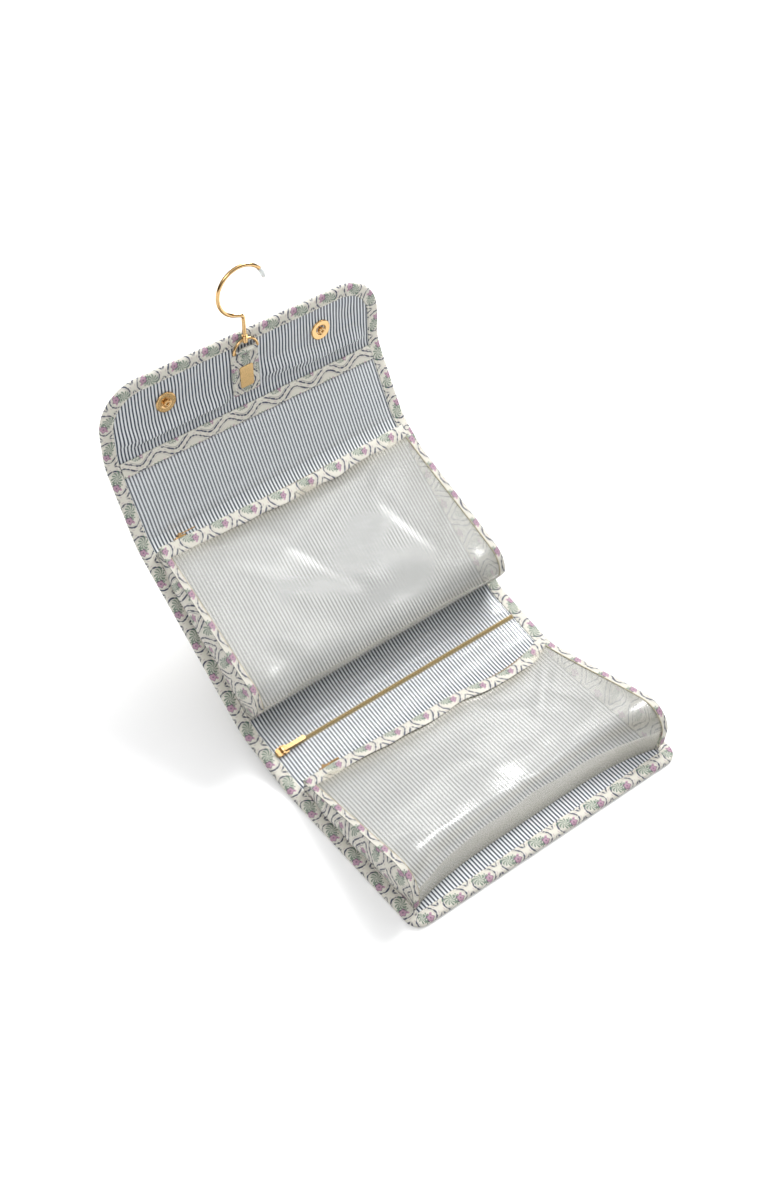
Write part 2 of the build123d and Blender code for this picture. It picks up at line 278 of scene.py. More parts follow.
def piece(name, parts, material, replaces=(), body=None, sharp=40, fold=None):
    """An object made from parts, riding on a body, or, across a fold, left where it is with its transform
    baked into its points.
    """
    points, faces, corners = merged(parts)
    mesh = bpy.data.meshes.new(name)
    mesh.from_pydata(points.tolist(), [], faces)
    layer = mesh.uv_layers.new(name="plan")
    layer.data.foreach_set("uv", corners.astype(np.float32).ravel())
    work = bmesh.new()
    work.from_mesh(mesh)
    bmesh.ops.recalc_face_normals(work, faces=work.faces)
    work.to_mesh(mesh)
    work.free()
    mesh.polygons.foreach_set("use_smooth", [True] * len(mesh.polygons))
    mesh.set_sharp_from_angle(angle=math.radians(sharp))
    mesh.materials.append(material)
    made = bpy.data.objects.new(name, mesh)
    bpy.context.collection.objects.link(made)
    if replaces:
        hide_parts(*replaces)
    if fold is not None:
        s = STATIONS[fold + 1]
        start, end = place(0, s - BEND, 0), place(0, s + BEND, 0)
        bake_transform(made)
    else:
        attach(made, body)
    return made


def sideways(points, normals):
    """Directions across a line of points that has normals."""
    return unit(np.cross(unit(np.gradient(points, axis=0)), normals))


def tube(points, normals, section):
    """Sweeps a closed section, given as (sideways, outward), along a line of points."""
    side = sideways(points, normals)
    rings = points[:, None] + side[:, None] * section[None, :, :1]
    rings = rings + normals[:, None] * section[None, :, 1:]
    return skin(rings, paired(girth(section)[None, :], run_along(points)[:, None]))


def oval(wide, high, n):
    a = np.linspace(0, 2 * math.pi, n, endpoint=False)
    return np.stack([wide * np.cos(a), high * np.sin(a)], -1)


def resample(line, step):
    """A line of points spaced evenly."""
    line = np.asarray(line, float)
    run = run_along(line)
    count = max(2, int(round(run[-1] / step)) + 1)
    at = np.linspace(0, run[-1], count)
    return np.stack([np.interp(at, run, line[:, c]) for c in range(line.shape[1])], -1)


def thread_run(flat, n, pitch=3.4 * MM, length=2.5 * MM, radius=0.28 * MM):
    """Stitches along a line of (x, s) places at height n over the lining."""
    spots = resample(flat, pitch)
    ahead = unit(np.gradient(spots, axis=0))
    parts = []
    t = np.linspace(-1, 1, 7)
    fat = np.sqrt(np.clip(1 - t**4, 0.05, 1))
    a = np.linspace(0, 2 * math.pi, 6, endpoint=False)
    height = np.broadcast_to(n, len(spots))
    for (x, s), (dx, ds), h in zip(spots, ahead, height):
        lx = x + t * length / 2 * dx
        ls = s + t * length / 2 * ds
        ring_x = lx[:, None] - ds * np.cos(a)[None] * radius * fat[:, None]
        ring_s = ls[:, None] + dx * np.cos(a)[None] * radius * fat[:, None]
        ring_n = h + (1 - t**2)[:, None] * 0.12 * MM + np.sin(a)[None] * radius * fat[:, None]
        parts.append(skin(place(ring_x, ring_s, ring_n)))
    return parts


# --- shader helpers -----------------------------------------------------------
class Num:
    """A number in a shader."""

    def __init__(self, net, socket):
        self.net, self.socket = net, socket

    def __add__(self, other):
        return self.net.math("ADD", self, other)

    def __sub__(self, other):
        return self.net.math("SUBTRACT", self, other)

    def __rsub__(self, other):
        return self.net.math("SUBTRACT", other, self)

    def __mul__(self, other):
        return self.net.math("MULTIPLY", self, other)

    def __truediv__(self, other):
        return self.net.math("DIVIDE", self, other)

    __radd__, __rmul__ = __add__, __mul__


class Net:
    """A material and its nodes."""

    def __init__(self, name, **sockets):
        self.material = bpy.data.materials.new(name)
        self.material.use_nodes = True
        self.tree = self.material.node_tree
        self.shader = self.tree.nodes["Principled BSDF"]
        for key, value in sockets.items():
            self.shader.inputs[key.replace("_", " ")].default_value = value

    def node(self, kind, **settings):
        made = self.tree.nodes.new("ShaderNode" + kind)
        for key, value in settings.items():
            setattr(made, key, value)
        return made

    def put(self, socket, value):
        if isinstance(value, Num):
            self.tree.links.new(value.socket, socket)
        elif isinstance(value, tuple) and len(value) == 3 and socket.type == "RGBA":
            socket.default_value = (*value, 1)
        else:
            socket.default_value = value

    def math(self, operation, *values, clamp=False):
        made = self.node("Math", operation=operation, use_clamp=clamp)
        for socket, value in zip(made.inputs, values):
            self.put(socket, value)
        return Num(self, made.outputs[0])

    def step(self, value, low, high):
        """0 below low, 1 above high, smooth between."""
        made = self.node("MapRange", interpolation_type="SMOOTHSTEP")
        for key, v in (("Value", value), ("From Min", low), ("From Max", high)):
            self.put(made.inputs[key], v)
        return Num(self, made.outputs[0])

    def band(self, value, width, soft):
        """1 within width of zero, fading over soft."""
        return 1 - self.step(self.math("ABSOLUTE", value), width, width + soft)

    def mix(self, share, a, b):
        made = self.node("Mix", data_type="RGBA")
        self.put(made.inputs[0], share)
        self.put(made.inputs[6], a)
        self.put(made.inputs[7], b)
        return Num(self, made.outputs[2])

    def plan(self):
        """Places on the flat cloth, in millimetres."""
        uv = self.node("UVMap", uv_map="plan")
        split = self.node("SeparateXYZ")
        self.tree.links.new(uv.outputs[0], split.inputs[0])
        return Num(self, split.outputs[0]) * 1000.0, Num(self, split.outputs[1]) * 1000.0

    def vector(self, x, y, z=0.0):
        made = self.node("CombineXYZ")
        for socket, value in zip(made.inputs, (x, y, z)):
            self.put(socket, value)
        return Num(self, made.outputs[0])

    def space(self):
        """Places in the piece's own space, in millimetres."""
        made = self.node("TexCoord")
        scale = self.node("VectorMath", operation="SCALE")
        scale.inputs["Scale"].default_value = 1000
        self.tree.links.new(made.outputs["Object"], scale.inputs[0])
        return Num(self, scale.outputs[0])

    def noise(self, at, scale, detail=2.0, rough=0.5):
        made = self.node("TexNoise")
        self.put(made.inputs["Vector"], at)
        made.inputs["Scale"].default_value = scale
        made.inputs["Detail"].default_value = detail
        made.inputs["Roughness"].default_value = rough
        return Num(self, made.outputs["Fac"])

    def bump(self, height, distance, strength=1.0):
        made = self.node("Bump")
        made.inputs["Strength"].default_value = strength
        made.inputs["Distance"].default_value = distance
        self.put(made.inputs["Height"], height)
        self.tree.links.new(made.outputs[0], self.shader.inputs["Normal"])

    def set(self, **values):
        for key, value in values.items():
            self.put(self.shader.inputs[key.replace("_", " ")], value)
        return self.material


def weave(net, u, v, pitch=0.55):
    """Height of a plain weave."""
    k = 2 * math.pi / pitch
    return net.math("SINE", u * k) * net.math("SINE", v * k)


# --- materials ----------------------------------------------------------------
CREAM = (0.71, 0.685, 0.60)
SLATE = (0.022, 0.028, 0.072)
MAUVE = (0.27, 0.075, 0.20)
PINK = (0.47, 0.23, 0.36)
SAGE = (0.022, 0.075, 0.042)
SAGE_LIGHT = (0.095, 0.20, 0.125)


def printed(name, column=14.0, repeat=30.0, offset=0.0, shift=0.0, reach=0.52, turn=0.0, bloom=1.0):
    """Cloth printed with an ogee lattice of outlined leaves and small posies."""
    net = Net(name, Specular_IOR_Level=0.35, Sheen_Weight=0.08, Coat_Weight=0.06)
    u, v = net.plan()
    at = net.vector(u, v)
    u2 = u + offset + (net.noise(at, 0.06, 1.0) - 0.5) * 1.6
    v2 = v + shift + (net.noise(at, 0.045, 1.0) - 0.5) * 1.6
    wave = net.math("COSINE", v2 * (2 * math.pi / repeat))
    middle = (wave * reach + 1.18) * (column / 2)
    edge = net.math("PINGPONG", u2, column) - middle
    slope = net.math("SINE", v2 * (2 * math.pi / repeat)) * (column / 2 * reach * 2 * math.pi / repeat)
    edge = edge / net.math("SQRT", slope * slope + 1.0)
    odd = net.math("GREATER_THAN", edge, 0.0)
    x_even = net.math("WRAP", u2, column, -column)
    x_odd = net.math("WRAP", u2 - column, column, -column)
    y_even = net.math("WRAP", v2, repeat / 2, -repeat / 2)
    y_odd = net.math("WRAP", v2 - repeat / 2, repeat / 2, -repeat / 2)
    x = x_even + (x_odd - x_even) * odd
    y = y_even + (y_odd - y_even) * odd
    # lattice: a plain ribbon between two navy lines, thick and thin by turns
    ribbon = 2.0
    swell = net.step(net.noise(at, 0.35, 1.0), 0.38, 0.55)
    room = middle + (middle * -2 + column) * odd
    inside = net.math("ABSOLUTE", edge) - ribbon
    line = net.band(inside, 0.24 + swell * 0.30, 0.4) * (0.62 + swell * 0.38)
    line = line * net.step(room, ribbon + 0.4, ribbon + 1.4)
    inner = net.band(inside - 1.5, 0.06, 0.4) * net.step(room, ribbon + 3.0, ribbon + 4.0)
    inner = inner * (odd * 0.35 + 0.25)
    dashes = net.step(net.math("SINE", v2 * (2 * math.pi / 5.5)), 0.35, 0.6)
    marks = net.band(edge, 0.10, 0.4) * dashes * 0.35
    # posy: fronds fanning from a stem, a ruffled flower beside them and buds
    small = (0.98 + odd * 0.30) / bloom
    c, d = math.cos(math.radians(turn)), math.sin(math.radians(turn))
    x, y = (x * c + y * d) * small, (y * c - x * d) * small
    side = net.math("ABSOLUTE", x)

    def polar(px, py):
        return net.math("SQRT", px * px + py * py), net.math("ARCTAN2", py, px)

    r, a = polar(x, y + 3.2)
    tips = net.math("COSINE", a * 2.0) * -0.9 + 4.6 + net.math("SINE", a * 7.0) * 0.5
    hairs = net.step(net.math("SINE", a * 9.0 + r * 1.6), -0.1, 0.6)
    leafy = 1 - net.step(r, tips - 0.4, tips + 0.2)
    fronds = hairs * (1 - net.step(r, tips, tips + 0.7)) * net.step(r, 0.3, 0.8)
    veins = net.step(net.math("SINE", a * 9.0 + r * 1.6 + 2.2), 0.80, 0.98) * leafy
    r2, a2 = polar(side - 2.5, y - 0.9)
    sprigs = (1 - net.step(r2, 1.7, 2.2)) * net.step(net.math("SINE", a2 * 5.0 + 1.0), -0.3, 0.2)
    r3, a3 = polar(x, y - 3.9)
    ruffle = net.math("COSINE", a3 * 5.0) * 0.4 + 2.6
    flower = 1 - net.step(r3, ruffle - 0.3, ruffle + 0.3)
    petals = net.step(net.math("SINE", a3 * 10.0 + r3 * 3.0), -0.2, 0.5)
    rim = net.band(r3 - ruffle, 0.12, 0.3)
    bud = 1 - net.step(polar(side - 3.4, y - 4.6)[0], 0.7, 1.2)
    heart = 1 - net.step(r3, 0.4, 0.9)
    cloth = net.mix(net.noise(at, 0.02, 2.0), CREAM, (0.67, 0.65, 0.585))
    colour = net.mix(marks, cloth, MAUVE)
    colour = net.mix(net.math("MAXIMUM", line, inner) * 0.95, colour, SLATE)
    green = net.mix(net.noise(at, 0.7, 1.0), SAGE, SAGE_LIGHT)
    colour = net.mix(leafy * 0.16, colour, SAGE_LIGHT)
    colour = net.mix(net.math("MAXIMUM", fronds, sprigs) * 0.8, colour, green)
    colour = net.mix(veins * 0.5, colour, SLATE)
    colour = net.mix(bud * 0.8, colour, PINK)
    colour = net.mix(flower * 0.78, colour, net.mix(petals, PINK, MAUVE))
    colour = net.mix(net.math("MAXIMUM", heart, rim) * 0.6, colour, SLATE)
    net.bump(weave(net, u, v) * 0.5 + net.noise(at, 0.25, 3.0) * 2.2, 0.00016, 0.6)
    rough = net.noise(at, 0.4, 2.0) * 0.16 + 0.46
    return net.set(Base_Color=colour, Roughness=rough)


def ticking(name):
    """Woven lining with narrow stripes along the bag."""
    net = Net(name, Specular_IOR_Level=0.3, Sheen_Weight=0.06)
    u, v = net.plan()
    at = net.vector(u, v)
    across = u + (net.noise(at, 0.03, 1.0) - 0.5) * 0.8
    phase = net.math("PINGPONG", across, 1.49)
    ragged = (net.noise(net.vector(u * 2.0, v), 2.2, 2.0) - 0.5) * 0.22
    dark = net.step(phase + ragged, 0.72, 0.88)
    ink = net.mix(net.noise(at, 0.6, 2.0), (0.014, 0.022, 0.045), (0.035, 0.048, 0.080))
    ground = net.mix(net.noise(at, 0.05, 2.0), (0.82, 0.84, 0.86), (0.76, 0.785, 0.81))
    net.bump(weave(net, u, v, 0.5) * 0.5 + net.noise(at, 0.2, 2.0) * 2.0, 0.00014, 0.6)
    colour = net.mix(dark * 0.95, ground, ink)
    return net.set(Base_Color=colour, Roughness=net.noise(at, 0.5) * 0.15 + 0.55)


def milky(name, alpha, low, high):
    """Frosted vinyl of the box pockets, tinted a darker cream along its edges and where it turns: partly the
    cream of its seams, partly painted shade.
    """
    net = Net(name, Alpha=alpha, Specular_IOR_Level=0.8, IOR=1.6, Metallic=0.04)
    u, v = net.plan()
    at = net.vector(u, v)
    edge = net.node("Attribute", attribute_name="edge")
    rim = Num(net, edge.outputs["Fac"])
    haze = net.mix(net.noise(at, 0.03, 2.0), high, low)
    # the edge attribute mixes in a darker cream: partly the seams' own colour, partly painted shade
    colour = net.mix(rim * 0.9, haze, (0.62, 0.575, 0.45))
    net.bump(net.noise(at, 0.035, 2.0, 0.3) * 4.0, 0.0003, 0.5)
    return net.set(Base_Color=colour, Roughness=net.noise(at, 0.05, 1.0) * 0.10 + 0.18)


def film(name):
    """Glossy clear film, with the long soft waves that catch the light."""
    net = Net(name, Alpha=0.07, Specular_IOR_Level=1.0, IOR=1.6, Metallic=0.14)
    u, v = net.plan()
    at = net.vector(u * 0.5, v * 1.4 + u * 0.35)
    net.bump(net.noise(at, 0.05, 1.0, 0.3) * 2.0, 0.0003, 0.5)
    colour = net.mix(net.noise(at, 0.03), (0.93, 0.95, 0.96), (0.86, 0.89, 0.91))
    return net.set(Base_Color=colour, Roughness=net.noise(at, 0.1) * 0.06 + 0.12)


def metal(name, colour, rough, brushed=False):
    net = Net(name, Metallic=1.0)
    at = net.space()
    if brushed:
        split = net.node("SeparateXYZ")
        net.put(split.inputs[0], at)
        x, y, z = (Num(net, socket) for socket in split.outputs)
        at = net.vector(x * 9.0, y, z * 0.35)
    grain = net.noise(at, 1.2 if brushed else 0.35, 3.0)
    worn = tuple(c * 0.86 for c in colour)
    net.bump(grain, 0.00003, 0.4)
    return net.set(Base_Color=net.mix(grain, colour, worn), Roughness=grain * 0.14 + rough)


def plain(name, colour, second, rough, scale=0.4, height=0.00008, **sockets):
    net = Net(name, **sockets)
    at = net.space()
    grain = net.noise(at, scale, 3.0)
    net.bump(net.noise(at, scale * 5, 2.0), height, 0.7)
    return net.set(Base_Color=net.mix(grain, colour, second), Roughness=grain * 0.2 + rough)


PRINT = printed("print_cloth")
TAPE_PRINT = printed("print_binding", shift=-7.8, turn=-65.0, bloom=1.05)
LINING = ticking("striped_lining")
MILKY = milky("frosted_vinyl", 0.30, (0.68, 0.68, 0.64), (0.74, 0.74, 0.705))
# the base band's own cream, painted paler: painted light where the base lies in shade
CREAM_VINYL_PAINTED_PALE = milky("cream_vinyl_painted_pale", 0.6, (0.90, 0.87, 0.78), (0.95, 0.93, 0.86))
FILM = film("clear_film")
GOLD = metal("gold", (0.72, 0.47, 0.22), 0.10)
PLAQUE = metal("brushed_gold", (0.76, 0.52, 0.25), 0.22, brushed=True)
COIL = plain("zip_coil", (0.42, 0.28, 0.11), (0.34, 0.22, 0.08), 0.3, Metallic=0.4)
MIDDLE_COIL = plain("middle_zip_coil", (0.52, 0.38, 0.17), (0.44, 0.31, 0.13), 0.3, Metallic=0.3)
TAPE = plain("zip_tape_cloth", (0.45, 0.37, 0.22), (0.38, 0.31, 0.18), 0.7, 1.2)
TIP = plain("milky_tip", (0.86, 0.86, 0.83), (0.80, 0.80, 0.76), 0.2, Subsurface_Weight=0.15)
THREAD = plain("thread", (0.86, 0.84, 0.78), (0.78, 0.76, 0.70), 0.6, 3.0)


def seamless(name):
    """A pale floor that glows, faintly near the bag and more with distance, so that it fades into the white
    room: painted light, which also lifts its shadows.
    """
    net = Net(name, Roughness=0.7)
    at = net.space()
    grain = net.noise(at, 0.002, 2.0)
    away = net.node("VectorMath", operation="LENGTH")
    net.put(away.inputs[0], at)
    # painted light: a glow that grows with distance from the bag, with a faint even part that lifts the
    # shadows near it
    glow = net.step(Num(net, away.outputs["Value"]), 600.0, 1700.0)
    net.set(Emission_Strength=glow * 0.85 + 0.05, Emission_Color=(1, 1, 1))
    return net.set(Base_Color=net.mix(grain, (0.94, 0.94, 0.94), (0.92, 0.92, 0.92)))


FLOOR = seamless("floor")

# --- floor --------------------------------------------------------------------
FLOOR_HALF = 3.0
floor_corners = [(x * FLOOR_HALF, y * FLOOR_HALF, 0) for x, y in ((-1, -1), (1, -1), (1, 1), (-1, 1))]
floor_mesh = bpy.data.meshes.new("floor")
floor_mesh.from_pydata(floor_corners, [], [(0, 1, 2, 3)])
floor_mesh.materials.append(FLOOR)
floor = bpy.data.objects.new("floor", floor_mesh)
floor.location.z = -0.0003
bpy.context.collection.objects.link(floor)

# --- the padded wall ----------------------------------------------------------
SPANS = [0.0, *SEAMS, STATIONS[5]]
SEGMENTS = ("lower_middle", "middle_upper", "upper_slip", "slip_flap")
STANDS_FOR = (("lower", "middle"), ("upper",), ("slip",), ("flap",))


def half_width(s, inset):
    """Half the sheet's width at s, its corners rounded, with its edge drawn in."""
    wide = np.full(np.shape(s), HALF - inset)
    for end, radius in ((0.0, CORNER_RADIUS[0]), (STATIONS[5], CORNER_RADIUS[1])):
        r = max(radius - inset, 0.5 * MM)
        q = np.clip(np.abs(s - end) - inset, 0, r)
        wide = wide - (r - np.sqrt(np.clip(r * r - (r - q) ** 2, 0, None)))
    return wide


def s_rows(low, high, step, inset):
    """Rows along the sheet, closer where an end is rounded."""
    rows = np.linspace(low, high, int((high - low) / step) + 1)
    for end, radius in ((0.0, CORNER_RADIUS[0]), (STATIONS[5], CORNER_RADIUS[1])):
        if low <= end <= high:
            q = (1 - np.cos(np.linspace(0, math.pi / 2, 14))) * (radius - inset)
            near = end + inset + q if end == low else end - inset - q
            keep = np.abs(rows - end) > radius
            rows = np.sort(np.concatenate([rows[keep], near]))
    return rows


def seam_fade(s):
    """0 at the seams between segments, so that neighbours meet exactly."""
    fade = np.ones(np.shape(s))
    for seam in SEAMS:
        fade = fade * smooth(np.abs(s - seam) / (14 * MM))
    return fade


def flap_fold(x, s):
    """The flap's lining sags over its foot in a soft roll, held flat behind the tab."""
    foot = STATIONS[4] + (8.5 + 3.5 * np.sin(x * 38 + 0.6) + 1.5 * np.sin(x * 83)) * MM
    roll = smooth((s - foot) / (4 * MM)) * (1 - smooth((s - foot - 4 * MM) / (16 * MM)))
    free = smooth((np.abs(x) - 14 * MM) / (10 * MM))
    return 4.0 * MM * roll * free


for k, name in enumerate(SEGMENTS):
    for layer, inset, material in (("shell", 3 * MM, PRINT), ("lining", 2 * MM, LINING)):
        s = s_rows(SPANS[k], SPANS[k + 1], 4 * MM, inset)
        u = np.linspace(-1, 1, 61)
        u = np.sin(u * math.pi / 2 * 0.9) / math.sin(math.pi / 2 * 0.9)
        x = u[:, None] * half_width(s, inset)[None]
        s2 = np.broadcast_to(s[None], x.shape)
        inside = smooth((HALF - np.abs(x) - 8 * MM) / (22 * MM))
        ends = smooth(s2 / (30 * MM)) * smooth((STATIONS[5] - s2) / (30 * MM))
        lifted = smooth((s2 - STATIONS[1] - 5 * MM) / (30 * MM))
        flap = smooth((s2 - STATIONS[4] - 4 * MM) / (20 * MM))
        wrinkle = (0.25 + 0.6 * flap) * MM * ripple(x, s2, 5, low=25, high=70)
        wrinkle = wrinkle * inside * ends * seam_fade(s2)
        wrinkle = wrinkle - 0.35 * MM * flap * inside * ends + flap_fold(x, s2) * inside
        if layer == "shell":
            puff = (0.9 + 0.8 * ripple(x, s2, 3)) * MM * inside * ends * seam_fade(s2) * lifted
            low_n = -THICK + 0.15 * MM - np.clip(puff, -0.3 * MM, 2.2 * MM)
            top_n = wrinkle - 0.7 * MM
        else:
            top_n = wrinkle
            low_n = top_n - 0.6 * MM
        part = slab(place(x, s2, top_n), place(x, s2, low_n), np.stack([x, s2], -1))
        slot, kinds = ("print", ("shell", "foam")) if layer == "shell" else ("lining", ("lining",))
        nodes = [f"{panel}_{kind}" for panel in STANDS_FOR[k] for kind in kinds]
        made = piece(f"{name}_{layer}", [part], material, nodes, fold=k)
        layer == "shell"

# Binding: a tape folded round the edge. Its section is (in from the edge, out of the lining).
BINDING_SECTION = np.array(
    [
        (11.0, 0.05), (10.95, 0.55), (10.6, 0.85), (9.6, 0.78), (8.0, 1.05), (5.5, 1.15), (3.0, 1.05),
        (1.3, 0.7), (0.4, -0.1), (0.0, -1.2), (0.05, -2.2), (0.5, -3.0), (1.4, -3.38), (3.0, -3.4),
        (5.5, -3.4), (7.4, -3.4), (7.9, -3.2), (8.0, -2.8), (7.0, -2.6), (1.7, -2.6), (1.2, -1.2),
        (1.7, 0.05),
    ]
) * MM


def outline(low, high):
    """(x, s) and inward direction along the sheet's edge within a segment, as runs."""
    step = 3 * MM
    runs = []

    def side(a, b, sign):
        count = max(2, int(abs(b - a) / step) + 1)
        return np.stack([np.full(count, sign * HALF), np.linspace(a, b, count)], -1)

    if low > 0 and high < STATIONS[5]:
        for sign in (-1, 1):
            line = side(low, high, sign)
            runs.append((line, np.tile([-sign, 0.0], (len(line), 1))))
        return runs
    if low == 0:
        end, far, radius, toward = 0.0, high, CORNER_RADIUS[0], 1
    else:
        end, far, radius, toward = STATIONS[5], low, CORNER_RADIUS[1], -1
    turn = np.linspace(0, math.pi / 2, 16)[1:-1]
    left = side(far, end + toward * radius, -1)
    centre = np.array([-HALF + radius, end + toward * radius])
    inward = np.stack([np.cos(turn), toward * np.sin(turn)], -1)
    front = np.linspace(-HALF + radius, HALF - radius, int(2 * (HALF - radius) / step))
    points = [left, centre - inward * radius, np.stack([front, np.full(len(front), end)], -1)]
    inwards = [np.tile([1.0, 0], (len(left), 1)), inward, np.tile([0, float(toward)], (len(front), 1))]
    half = np.concatenate(points), np.concatenate(inwards)
    count = len(left) + len(turn)
    mirror = half[0][:count][::-1] * [-1, 1], half[1][:count][::-1] * [-1, 1]
    runs.append((np.concatenate([half[0], mirror[0]]), np.concatenate([half[1], mirror[1]])))
    return runs


def bound_edge(line, inward, start, sense):
    """A stretch of binding; its print starts at start and runs on in the given sense."""
    section = BINDING_SECTION
    ring = line[:, None] + inward[:, None] * section[None, :, :1]
    run = run_along(line) * sense + start
    soft = ripple(line[:, 0], line[:, 1], 11, low=9, high=30) * seam_fade(line[:, 1])
    n = section[None, :, 1] + soft[:, None] * 0.22 * MM * (section[None, :, 1] > 0.3 * MM)
    plan = paired(run[:, None], girth(section)[None, :])
    return skin(place(ring[..., 0], ring[..., 1], n), plan)


front_line = outline(SPANS[0], SPANS[1])[0][0]
FRONT_RUN = np.linalg.norm(np.diff(front_line, axis=0), axis=1).sum()
for k, name in enumerate(SEGMENTS):
    runs = outline(SPANS[k], SPANS[k + 1])
    parts, threads = [], []
    for line, inward in runs:
        # the print runs on from one segment's binding to the next, toward the front on the left
        sense = 1 if k == 0 or (len(runs) == 2 and line[0, 0] > 0) else -1
        onward = sense * (line[0, 1] - SPANS[1]) + (FRONT_RUN if sense > 0 else 0)
        start = {0: 0.0, 3: SPANS[1] - SPANS[3]}.get(k, onward)
        parts.append(bound_edge(line, inward, start, sense))
        threads += thread_run(line + inward * 9.7 * MM, 0.86 * MM)
    nodes = [f"{panel}_binding" for panel in STANDS_FOR[k]]
    piece(f"{name}_binding", parts, TAPE_PRINT, nodes, fold=k)
    piece(f"{name}_binding_stitches", threads, THREAD, fold=k)


# --- box pockets --------------------------------------------------------------
def pocket_line(bottom, top, deep, shallow, radius, count):
    """(along, out) down a pocket's front, from its zip to its base."""
    start, corner, foot = np.array([(top, shallow), (bottom, deep), (bottom, 0.6 * MM)])
    a, b = unit(start - corner), unit(foot - corner)
    turn = math.pi - math.acos(a @ b)
    tangent = radius * math.tan(turn / 2)
    middle = corner + unit(a + b) * math.hypot(radius, tangent)
    first, last = corner + a * tangent - middle, corner + b * tangent - middle
    swing = math.acos(first @ last / radius**2)
    swing = math.copysign(swing, first[0] * last[1] - first[1] * last[0])
    angles = math.atan2(first[1], first[0]) + np.linspace(0, swing, 30)
    arc = middle + radius * np.stack([np.cos(angles), np.sin(angles)], -1)
    line = np.concatenate([[start], arc, [foot]])
    run = run_along(line)
    at = np.linspace(0, run[-1], count)
    return np.stack([np.interp(at, run, line[:, c]) for c in (0, 1)], -1), at


def crease(u, v, a, b, width, height):
    """A soft fold in the vinyl from a to b, tapering to its ends."""
    a, b = np.array(a), np.array(b)
    d = b - a
    t = ((u - a[0]) * d[0] + (v - a[1]) * d[1]) / (d @ d)
    off = ((u - a[0]) * d[1] - (v - a[1]) * d[0]) / np.linalg.norm(d)
    return height * np.exp(-((off / width) ** 2)) * smooth(t * 3) * smooth((1 - t) * 3)


def local_box(node):
    """Lowest and highest (x, along, out) of a CAD node, taken in its own panel."""
    co = np.array([v.co for v in frame["nodes"][node].data.vertices], float)
    i = PANELS.index(node.split("_")[0])
    off = co[:, 1:] - CORNERS[i]
    flat = np.stack([co[:, 0], off @ DIRS[i], off @ np.array([-DIRS[i][1], DIRS[i][0]])], -1)
    return flat.min(0), flat.max(0)


COIL_PITCH = 1.55 * MM


def coil(base, low, high, wire, path):
    """A zip's teeth: thick thread wound across the bag. path gives (along, out) for x and
    the angle wound so far."""
    turns = (high - low) / COIL_PITCH
    t = np.linspace(0, turns * 2 * math.pi, int(turns * 10))
    x = low + t / (2 * math.pi) * COIL_PITCH
    points = np.stack([x, *path(x, t)], -1)
    tangent = unit(np.gradient(points, axis=0))
    first = unit(np.cross(tangent, [1.0, 0, 0]))[:, None]
    second = np.cross(tangent, first[:, 0])[:, None]
    ring = np.linspace(0, 2 * math.pi, 5, endpoint=False)[None, :, None]
    rings = points[:, None] + wire * (np.cos(ring) * first + np.sin(ring) * second)
    return skin(place(rings[..., 0], base + rings[..., 1], rings[..., 2]))


def strip(base, x, along, out, thick, waves=None):
    """A flat band of cloth across the bag, between two limits along and with rounded edges."""
    lengths = np.linspace(x[0], x[1], int((x[1] - x[0]) / (3 * MM)))
    a_mid, half = (along[0] + along[1]) / 2, (along[1] - along[0]) / 2
    nose = min(thick / 2, half)
    rising = [(-half, 0), (-half, thick * 0.6), (-half + nose, thick)]
    falling = [(half - nose, thick), (half, thick * 0.6), (half, 0)]
    section = np.array([*rising, (0, thick * 1.12), *falling])
    shift, lift = waves(lengths) if waves else (0 * lengths, 0 * lengths)
    ring_a = a_mid + section[None, :, 0] + shift[:, None]
    ring_o = out + section[None, :, 1] + lift[:, None]
    ring_x = np.broadcast_to(lengths[:, None], ring_a.shape)
    plan = paired(girth(section)[None, :], (lengths - x[0])[:, None])
    return skin(place(ring_x, base + ring_a, ring_o), plan)


DEEP = {"lower": 43.5 * MM, "upper": 46.0 * MM}    # a pocket's depth at its base
SHALLOW = 11 * MM                                  # and at its zip
ROUND = 20 * MM                                    # radius of its lower front edge
VINYL = 0.35 * MM
ACROSS, DOWN = 121, 96                             # points in the vinyl's grid
# creases in the vinyl: from and to as (across -1 to 1, down 0 to 1), width, height in mm
CREASES = {
    "lower": [
        ((-0.9, 0.02), (0.1, 0.62), 0.09, 1.6), ((-0.5, 0.02), (0.45, 0.75), 0.06, -1.4),
        ((0.1, 0.03), (0.75, 0.6), 0.07, 1.5), ((0.95, 0.05), (0.35, 0.5), 0.05, 1.8),
        ((0.98, 0.4), (0.55, 0.85), 0.05, 1.2), ((-0.95, 0.5), (-0.45, 0.8), 0.06, 1.0),
        ((-0.2, 0.35), (0.2, 0.95), 0.05, 1.2), ((0.6, 0.1), (0.9, 0.8), 0.045, -1.2),
    ],
    "upper": [
        ((0.95, 0.03), (0.2, 0.45), 0.06, 2.0), ((0.2, 0.42), (0.1, 0.92), 0.07, 1.7),
        ((-0.9, 0.05), (-0.2, 0.55), 0.08, 1.6), ((0.45, 0.05), (0.75, 0.75), 0.05, -1.5),
        ((-0.3, 0.1), (0.15, 0.7), 0.05, -1.2), ((0.98, 0.35), (0.5, 0.8), 0.05, 1.3),
        ((-0.7, 0.5), (-0.35, 0.95), 0.06, 1.1), ((0.75, 0.08), (0.4, 0.25), 0.04, 1.4),
    ],
}
SAG = {"lower": 4.5, "upper": 4.0}                 # mm, in the middle of the front
SLUMP = {"lower": 9.5, "upper": 3.0}               # mm, along its lower front edge
HEAVE = {"lower": 11.0, "upper": 0.0}              # mm, how far its base is drawn up the bag
FLARE = {"lower": {-1: 2.5, 1: 7.0}, "upper": {-1: 2.0, 1: 3.5}}    # mm, at its left and right ends
